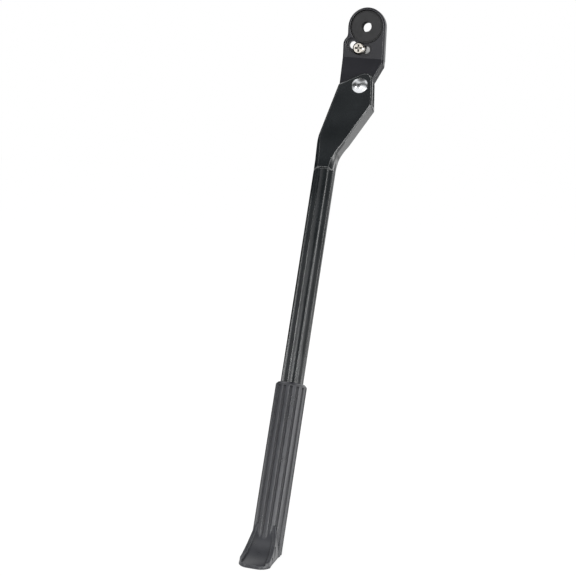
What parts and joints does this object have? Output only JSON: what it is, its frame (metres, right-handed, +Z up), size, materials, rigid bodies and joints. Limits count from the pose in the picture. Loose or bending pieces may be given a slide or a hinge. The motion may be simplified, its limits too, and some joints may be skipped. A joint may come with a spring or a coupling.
{
  "type": "bicycle kickstand",
  "caption": "Folding rear kickstand: a bent head plate fixed under the axle, a forked and fluted leg on a riveted pivot, and a ribbed rubber foot with a toe that meets the ground.",
  "frame": {"origin": "on the axle axis, on the face that lies against the bicycle's frame", "axes": "+Z up, +Y towards the bicycle's frame, +X to the rear of the bicycle; the leg is stored folded out"},
  "size_m": [0.046, 0.137, 0.3206],
  "materials": {
    "coated_metal": "satin black coating on a casting",
    "bush": "turned, blackened",
    "plated_steel": "bright zinc plating",
    "rubber": "moulded, slightly shiny"
  },
  "bodies": {
    "head": {"head_bracket": "coated_metal", "axle_bush": "bush"},
    "stop": {"stop_screw": "plated_steel", "stop_post": "plated_steel"},
    "leg": {"leg": "coated_metal", "pivot_rivet": "plated_steel", "pivot_washer": "plated_steel", "rubber_foot": "rubber", "detent_spring": "plated_steel"},
    "plunger": {"detent_plunger": "plated_steel"}
  },
  "joints": [
    {"name": "leg_fold", "type": "hinge", "parent": "head", "child": "leg", "pos_m": [-0.0007, -0.01045, -0.03857], "axis": [0.0187, -0.9455, 0.325], "range_deg": [0, 95]},
    {"name": "stop_adjust", "type": "hinge", "parent": "head", "child": "stop", "pos_m": [0, 0, 0], "axis": [0, -1, 0], "range_deg": [-19, 19]},
    {"name": "plunger_slide", "type": "slide", "parent": "leg", "child": "plunger", "axis": [0.2941, 0.3159, 0.902], "range_m": [0, 0.0009], "stiffness_N_per_m": 200, "springref_m": 0.004, "deforming": ["detent_spring"]}
  ]
}
